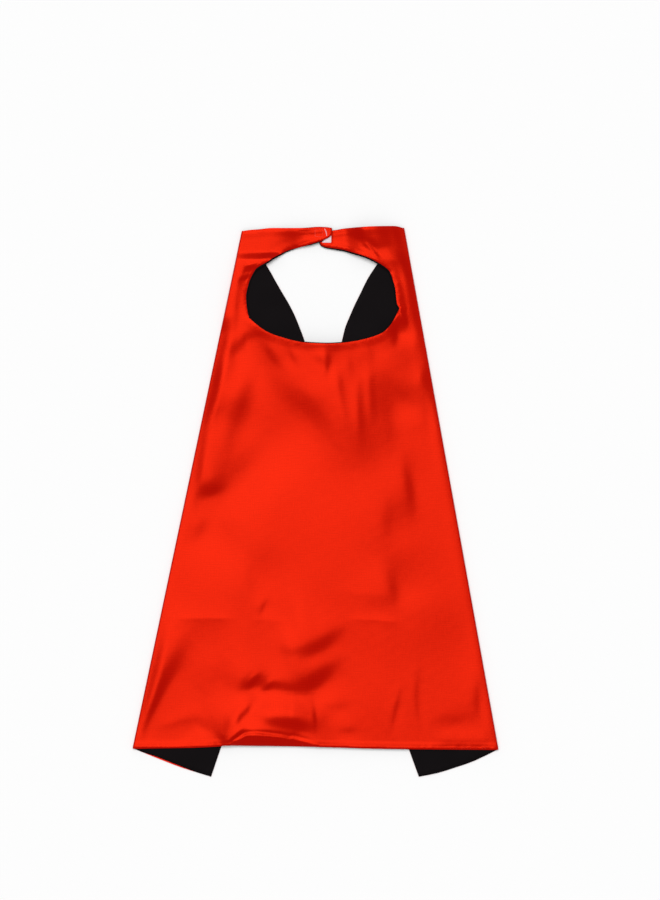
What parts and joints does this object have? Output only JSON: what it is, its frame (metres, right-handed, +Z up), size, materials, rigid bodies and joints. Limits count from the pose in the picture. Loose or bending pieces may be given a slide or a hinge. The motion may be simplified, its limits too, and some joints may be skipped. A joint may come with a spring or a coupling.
{
  "type": "superhero cape",
  "caption": "Child's dress-up cape in satin with a contrasting lining, folded flat, closing at the neck with a hook-and-loop tab.",
  "frame": {"origin": "bottom centre of the folded cape's box, at table height", "axes": "+Y from the hem towards the neck, +X across the cape to the right of the view, +Z up off the table, with the red outer shell facing up"},
  "size_m": [0.4868, 0.7382, 0.0071],
  "materials": {
    "outer_satin": "shiny polyester satin",
    "lining_satin": "shiny polyester satin",
    "red_thread": "polyester sewing thread",
    "white_thread": "polyester sewing thread",
    "hook_tape": "moulded nylon hooks",
    "loop_tape": "brushed nylon loops"
  },
  "bodies": {
    "back_panel": {"outer_back_panel": "outer_satin", "lining_back_panel": "lining_satin", "back_edge_seam": "red_thread", "turning_gap_stitching": "red_thread", "loop_patch": "loop_tape", "loop_patch_stitching": "white_thread"},
    "left_wing": {"outer_left_wing": "outer_satin", "lining_left_wing": "lining_satin", "left_wing_edge_seam": "red_thread"},
    "right_wing": {"outer_right_wing": "outer_satin", "lining_right_wing": "lining_satin", "right_wing_edge_seam": "red_thread"},
    "neck_tab": {"outer_neck_tab": "outer_satin", "lining_neck_tab": "lining_satin", "neck_tab_edge_seam": "red_thread", "hook_patch": "hook_tape", "hook_patch_stitching": "red_thread", "tab_end_tack": "white_thread"}
  },
  "joints": [
    {"name": "left_wing_fold", "type": "hinge", "parent": "back_panel", "child": "left_wing", "pos_m": [-0.097, 0.3625, 0.002], "axis": [0.2065, 0.9784, 0], "range_deg": [0, 179.5]},
    {"name": "right_wing_fold", "type": "hinge", "parent": "back_panel", "child": "right_wing", "pos_m": [0.117, 0.3665, 0.002], "axis": [0.178, -0.984, 0], "range_deg": [0, 179.5]},
    {"name": "neck_tab_peel", "type": "hinge", "parent": "back_panel", "child": "neck_tab", "pos_m": [-0.021, 0.3535, 0.004], "axis": [0, -1, 0], "range_deg": [0, 150]}
  ]
}
